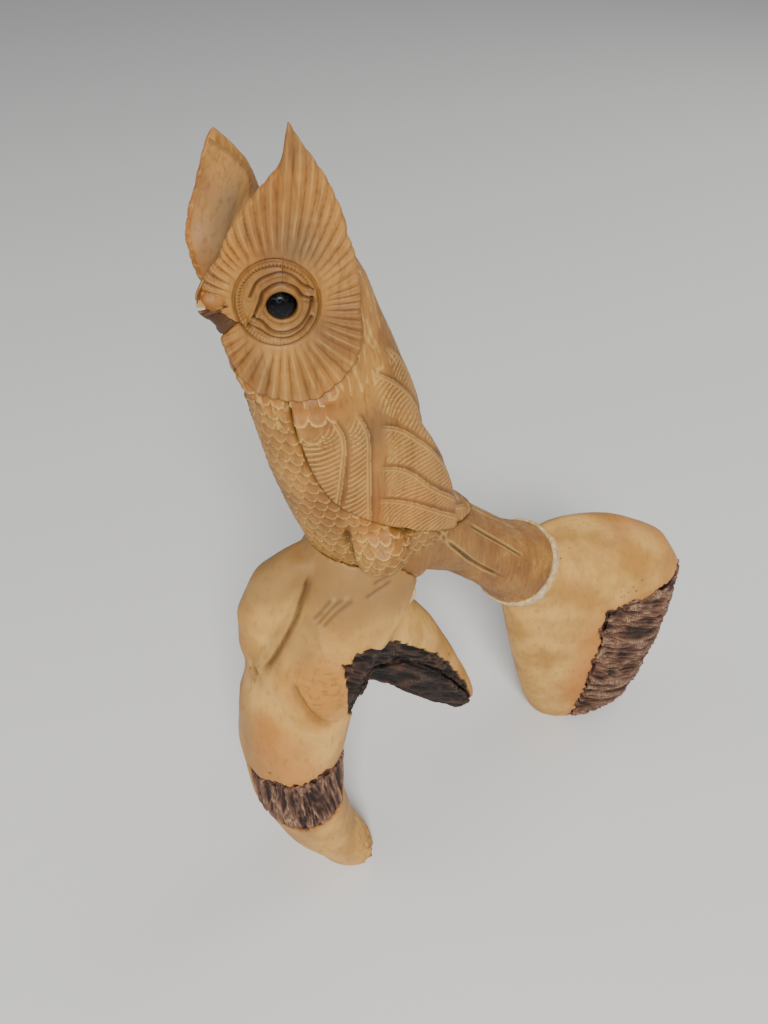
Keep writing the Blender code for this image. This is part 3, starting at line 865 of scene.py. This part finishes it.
crease(front, [(0.2, -79.7, 121.1), (3.9, -80.3, 116.1), (8.3, -78.4, 109.8), (11.1, -74.6, 105.3),
               (11.7, -70.3, 104.3)], 1.1, 1.9, 0.45, 0.6)
for number, points in enumerate(TOOL_MARKS):
    crease(front, points, 0.5, 0.6, 0.6)
    beside = gap_to(front.at, drawn(points) + np.array([0.7, 0.2, 0.4]))[0]
    front.mark("scratch", 0.35 * stroke(beside, 0.5) * ramp(wander(front.at, 1.5, seed=number), -0.6, 0.3))

# %% The foot's ragged toe and the lobe
SPUR = np.array([0.64, 0.77, 0.0])
low = ramp(front.at[:, 2], 24, 15)
reached = front.at @ SPUR
tip = reached[(front.at[:, 2] < 16) & (front.at[:, 1] < -30)].max()
toe = low * ramp(reached, tip - 10, tip) * (front.at[:, 1] < -30)
ragged = wander(front.at * [1, 1, 1.4], 1.6, seed=78)
front.at += SPUR * (toe * (3.0 + 1.0 * ragged))[:, None] - [0, 0, 0.6] * (toe * np.abs(ragged))[:, None]
front.write()
# Painted shade: hollows in the ragged toe are darkened.
front.mark("shaded_groove", 0.6 * ramp(toe, 0.7, 1.0) * ramp(ragged, 0.1, 0.6))
front.mark("warm", 0.7 * ramp(toe, 0.4, 1.0))
lobe = stroke(np.linalg.norm((front.at - [8, -73, 118]) / [10, 9, 13], axis=1), 1.0)
rays = np.abs(wander(front.at * [0.25, 0.25, 1.0], 0.9, seed=77))
front.lift(-0.22 * lobe * ramp(rays, 0.22, 0.02))
# Painted shade: the cut ray lines are darkened.
front.mark("shaded_groove", 0.45 * lobe * ramp(rays, 0.16, 0.02))
front.mark("warm", 0.8 * lobe)
front.mark("grey", 0.95 * ramp(front.at[:, 2], 130, 147))
front.mark("warm", 0.6 * ramp(front.at[:, 2], 138, 150))
front.keep_marks()
rear.keep_marks()
print("burl points:", front.count, rear.count)

# %% [markdown]
# ## The torn wood
# Broken burl shows bundles of long fibres. The strands stand at different heights, the thickest ones first,
# and fine splinters ride on them.

# %% Torn pieces
def torn_wood(node, name, voxel, way, thick, rough):
    wood = Surface(fresh_skin(node, name, voxel, 3))
    bundles = fibres(wood.at, way, 3.2 * thick, 26, 71)
    strands = fibres(wood.at, way, 1.1 * thick, 14, 72)
    splinters = fibres(wood.at, way, 0.5 * thick, 6, 73)
    wood.lift(rough * (0.9 * bundles + 0.65 * strands + 0.3 * splinters - 1.0))
    wood.mark("torn", np.ones(wood.count))
    wood.mark("strand", np.clip(0.45 * bundles + 0.4 * strands + 0.25 * splinters, 0, 1))
    wood.mark("grey", ramp(wander(wood.at, (6, 6, 9), seed=74), -0.1, 0.6))
    wood.mark("warm", ramp(wander(wood.at, (5, 5, 9), seed=75), 0.1, 0.7))
    wood.keep_marks()
    return wood.piece


arch_wood = torn_wood("arch_host_wood", "arch_torn_wood", 0.34, ARCH_WAY, 1.1, 1.0)
notch_wood = torn_wood("notch_host_wood", "notch_torn_wood", 0.28, NOTCH_WAY, 0.8, 0.8)
rear_wood = torn_wood("rear_host_wood", "rear_torn_wood", 0.38, REAR_WAY, 1.0, 1.2)

# %% [markdown]
# ## Filler
# A whitish paste joins the tail to the rear flare and fills a gap by the leg. It was pressed on with a
# finger, so its face is lumpy and its edge crumbles.

# %% Filler pieces
def paste(node, name, voxel, swell):
    filler = Surface(fresh_skin(node, name, voxel, 6))
    filler.lift(swell + 0.30 * wander(filler.at, 5.0, seed=81) + 0.20 * wander(filler.at, 0.9, seed=82))
    filler.mark("grey", ramp(wander(filler.at, 2.4, seed=83), 0.0, 0.8))
    # Painted shade: small hollows in the paste are darkened.
    filler.mark("shaded_groove", ramp(wander(filler.at, 0.8, seed=84), 0.62, 0.85))
    filler.keep_marks()
    return filler.piece


tail_paste = paste("tail_filler", "tail_paste", 0.3, 0.25)
leg_paste = paste("leg_filler", "leg_paste", 0.22, -0.5)

# %% [markdown]
# ## Finishes
# A finish is a small sum of layers: the wood's own colour, its grain, and the marks left by the carving. The
# helpers keep that sum readable: a `Signal` is a shader socket that adds and multiplies like a number.

# %% Shader helpers
class Signal:
    """A shader socket that can be used in sums."""

    def __init__(self, finish, socket):
        self.finish = finish
        self.socket = socket

    def maths(self, kind, first, second):
        return self.finish.node("Math", {"operation": kind}, {0: first, 1: second})

    def __add__(self, other):
        return self.maths("ADD", self, other)

    def __mul__(self, other):
        return self.maths("MULTIPLY", self, other)

    __radd__ = __add__
    __rmul__ = __mul__

    def between(self, low, high):
        """0 below low, 1 above high."""
        values = {0: self, 1: low, 2: high, 3: 0.0, 4: 1.0}
        return self.finish.node("MapRange", {"interpolation_type": "SMOOTHSTEP"}, values)


class Finish:
    """One material and the few kinds of layer that it is built from."""

    def __init__(self, name):
        self.material = bpy.data.materials.new(name)
        self.material.use_nodes = True
        self.tree = self.material.node_tree
        self.shader = self.tree.nodes["Principled BSDF"]
        self.place = self.node("TexCoord", output="Object")

    def node(self, kind, settings=None, values=None, output=0):
        made = self.tree.nodes.new("ShaderNode" + kind)
        for name, value in (settings or {}).items():
            setattr(made, name, value)
        for name, value in (values or {}).items():
            self.feed(made.inputs[name], value)
        return Signal(self, made.outputs[output])

    def feed(self, socket, value):
        if isinstance(value, Signal):
            self.tree.links.new(value.socket, socket)
        else:
            socket.default_value = value

    def mark(self, name):
        return self.node("Attribute", {"attribute_name": name}, output="Fac")

    def blend(self, amount, first, second, kind="MIX"):
        settings = {"data_type": "RGBA", "blend_type": kind}
        return self.node("Mix", settings, {0: amount, 6: first, 7: second}, output=2)

    def noise(self, size, stretch=(1, 1, 1), turn=(0, 0, 0), detail=3.0):
        """Noise with bumps of this many millimetres, stretched along the axes after a turn."""
        values = {"Vector": self.place, "Rotation": turn, "Scale": tuple(1 / s for s in stretch)}
        placed = self.node("Mapping", {}, values)
        values = {"Vector": placed, "Scale": 1 / (size * MM), "Detail": detail}
        return self.node("TexNoise", {}, values)

    def surface(self, colour, rough, bump=None, height=0.1):
        self.feed(self.shader.inputs["Base Color"], colour)
        self.feed(self.shader.inputs["Roughness"], rough)
        if bump is not None:
            values = {"Height": bump, "Strength": 0.6, "Distance": height * MM}
            made = self.node("Bump", {}, values)
            self.feed(self.shader.inputs["Normal"], made)
        return self.material


def tone(red, green, blue):
    """A colour as a screen shows it, 0 to 255, turned into light."""
    return tuple((part / 255) ** 2.2 for part in (red, green, blue)) + (1.0,)


# %% [markdown]
# ## The carved wood
# The owl is oiled light brown wood with a fine grain. Grooves and hollows are painted dark as shade, the last
# cuts are pale where the tool broke through the polish, and there are warm and grey patches in the wood. The
# lower body and the insides of the eye rings are painted darker as shade.

# %% Carved wood
def carved_finish():
    wood = Finish("carved wood")
    cloud = wood.noise(11, (1, 1, 1.6)).between(0.3, 0.7)
    grain = wood.noise(0.9, (1, 1, 7))
    colour = wood.blend(cloud, tone(126, 82, 36), tone(164, 116, 55))
    colour = wood.blend(0.45 * wood.mark("warm"), colour, tone(158, 92, 28))
    colour = wood.blend(0.70 * wood.mark("grey"), colour, tone(102, 84, 60))
    # Painted shade: the lower body and the eye ring interiors are darkened.
    colour = wood.blend(0.50 * wood.mark("painted_shade"), colour, tone(104, 72, 34))
    colour = wood.blend(0.40 * grain.between(0.50, 0.68), colour, tone(100, 62, 24))
    # Painted shade: grooves, cracks, pits and hollows are darkened towards near black brown.
    colour = wood.blend(0.82 * wood.mark("shaded_groove"), colour, tone(38, 20, 10))
    colour = wood.blend(0.70 * wood.mark("scratch"), colour, tone(220, 182, 104))
    rough = 0.46 + 0.22 * grain + 0.15 * wood.mark("scratch")
    wood.shader.inputs["Specular IOR Level"].default_value = 0.4
    return wood.surface(colour, rough, grain, 0.06)


# %% [markdown]
# ## Burl skin and torn wood
# One recipe serves both, since the skin turns into torn wood inside the same piece. Skin is pale and satin
# with orange zones; torn wood is dull, with pale strands over dark clefts.

# %% Burl finish
def burl_finish(name, dark, mid, pale, pale_share):
    wood = Finish(name)
    cloud = wood.noise(16).between(0.32, 0.68)
    fleck = wood.noise(1.6, (1, 1, 2.5))
    skin = wood.blend(cloud, tone(168, 120, 56), tone(204, 157, 82))
    skin = wood.blend(0.60 * wood.mark("warm"), skin, tone(178, 110, 42))
    skin = wood.blend(0.75 * wood.mark("grey"), skin, tone(122, 94, 58))
    skin = wood.blend(0.35 * fleck.between(0.52, 0.72), skin, tone(140, 92, 44))
    skin = wood.blend(0.55 * wood.mark("singed"), skin, tone(166, 92, 34))
    # Painted shade: pits, cracks, folds and hollows in the skin are darkened.
    skin = wood.blend(0.85 * wood.mark("shaded_groove"), skin, tone(58, 34, 18))
    skin = wood.blend(0.60 * wood.mark("scratch"), skin, tone(214, 186, 138))
    strand = wood.mark("strand")
    fine = wood.noise(0.7, (1, 1, 4), (0.6, 0, 0.2)).between(0.35, 0.65)
    torn = wood.blend(strand.between(0.25, 0.75), dark, mid)
    torn = wood.blend(pale_share * strand.between(0.6, 0.95) * fine, torn, pale)
    torn = wood.blend(0.35 * wood.mark("warm") * strand, torn, tone(124, 78, 58))
    colour = wood.blend(wood.mark("torn"), skin, torn)
    rough = 0.50 + 0.14 * fleck + 0.28 * wood.mark("torn")
    wood.shader.inputs["Specular IOR Level"].default_value = 0.38
    return wood.surface(colour, rough, fleck + fine * wood.mark("torn"), 0.10)


# %% Filler, dowel and eye finishes
def filler_finish():
    paste = Finish("wood filler")
    lump = paste.noise(2.2).between(0.3, 0.7)
    colour = paste.blend(lump, tone(204, 178, 130), tone(176, 138, 86))
    colour = paste.blend(0.5 * paste.mark("grey"), colour, tone(196, 184, 160))
    # Painted shade: the paste's hollows are darkened.
    colour = paste.blend(0.7 * paste.mark("shaded_groove"), colour, tone(110, 84, 58))
    return paste.surface(colour, 0.80 + 0.1 * lump, lump, 0.15)


def dowel_finish():
    wood = Finish("dowel wood")
    grain = wood.noise(0.8, (1, 1, 12))
    colour = wood.blend(grain.between(0.35, 0.65), tone(206, 172, 122), tone(178, 138, 88))
    return wood.surface(colour, 0.6 + 0.1 * grain, grain, 0.05)


def bead_finish():
    glass = Finish("eye bead")
    tint = glass.noise(2.5).between(0.35, 0.7)
    colour = glass.blend(tint, tone(4, 4, 5), tone(10, 14, 20))
    colour = glass.blend(0.30 * glass.mark("scratch"), colour, tone(70, 76, 84))
    glass.shader.inputs["Specular IOR Level"].default_value = 0.12
    glass.shader.inputs["Coat Weight"].default_value = 0.10
    glass.shader.inputs["Coat Roughness"].default_value = 0.10
    return glass.surface(colour, 0.34 + 0.3 * glass.mark("scratch"))


# %% [markdown]
# ## Putting the pieces in the frame
# Each piece rides on the one body, takes the place of its frame node, which is hidden, and wears its finish.

# %% Into the frame
carved = carved_finish()
dark_wood = (tone(12, 8, 6), tone(44, 30, 22), tone(112, 86, 66))
grey_wood = (tone(40, 26, 20), tone(100, 70, 54), tone(172, 144, 114))
skin_and_dark = burl_finish("burl over dark wood", *dark_wood, 0.35)
skin_and_torn = burl_finish("burl over grey wood", *grey_wood, 0.7)
filler = filler_finish()
dowel = dowel_finish()
glass = bead_finish()


def place(piece, node, slot, material):
    piece.data.materials.clear()
    piece.data.materials.append(material)
    alone(piece)
    bpy.ops.object.shade_smooth()
    piece.data.update()
    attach(piece, "root")
    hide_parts(node)
    print(piece.name, "triangles:", sum(len(face.vertices) - 2 for face in piece.data.polygons))


for part in owl_parts + discs + [forehead, beak]:
    place(part, "owl_carving", "carved_wood", carved)
for part in owl_parts:
    alone(part)
    bpy.ops.object.shade_smooth_by_angle(angle=math.radians(80))
place(beads[0], "left_eye", "eye_bead", glass)
place(beads[1], "right_eye", "eye_bead", glass)
place(front.piece, "front_flare", "burl_wood", skin_and_dark)
place(rear.piece, "rear_flare", "burl_wood", skin_and_torn)
place(arch_wood, "arch_host_wood", "dark_host_wood", skin_and_dark)
place(notch_wood, "notch_host_wood", "torn_host_wood", skin_and_torn)
place(rear_wood, "rear_host_wood", "torn_host_wood", skin_and_torn)
place(tail_paste, "tail_filler", "wood_filler", filler)
place(leg_paste, "leg_filler", "wood_filler", filler)
for name in ("leg_dowel", "tail_dowel"):
    nodes[name].data.materials.clear()
    nodes[name].data.materials.append(dowel)

# %% [markdown]
# ## Floor, light and camera
# A plain pale floor, a soft light from the upper right and a view from above and to the right of the owl.

# %% Stage
bpy.ops.mesh.primitive_plane_add(size=4)
floor = bpy.context.object
floor.name = "floor"
paint = bpy.data.materials.new("pale floor")
paint.use_nodes = True
paint.node_tree.nodes["Principled BSDF"].inputs["Base Color"].default_value = tone(214, 212, 208)
paint.node_tree.nodes["Principled BSDF"].inputs["Roughness"].default_value = 0.8
floor.data.materials.append(paint)
floor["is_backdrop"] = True


def soft_light(name, at, aim, size, watts):
    lamp = bpy.data.lights.new(name, "AREA")
    lamp.size = size
    lamp.energy = watts
    holder = bpy.data.objects.new(name, lamp)
    bpy.context.scene.collection.objects.link(holder)
    holder.location = at
    holder.rotation_euler = (Vector(aim) - Vector(at)).to_track_quat("-Z", "Y").to_euler()
    holder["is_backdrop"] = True


soft_light("key", (0.75, -0.55, 0.95), (0, 0, 0.12), 0.40, 21)
soft_light("fill", (-0.6, -0.8, 0.6), (0, 0, 0.12), 0.9, 2.5)
soft_light("back", (0.1, 0.9, 0.8), (0, 0, 0.12), 0.8, 5)
world = bpy.data.worlds.new("studio")
world.use_nodes = True
world.node_tree.nodes["Background"].inputs["Color"].default_value = (0.9, 0.95, 1.0, 1)
world.node_tree.nodes["Background"].inputs["Strength"].default_value = 0.32
bpy.context.scene.world = world

# %% Camera
lens = bpy.data.cameras.new("camera")
lens.sensor_width = 36
lens.lens = 29.88
lens.clip_start = 0.01
camera = bpy.data.objects.new("camera", lens)
bpy.context.scene.collection.objects.link(camera)
camera.location = (0.1273, -0.1516, 0.320)
camera.rotation_euler = (math.radians(47), 0, math.radians(50))
bpy.context.scene.camera = camera

# %% The end
box_at_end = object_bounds()
for low, high in zip(box_at_start, box_at_end):
    print("box corner moved by, mm:", [round((b - a) / MM, 2) for a, b in zip(low, high)])
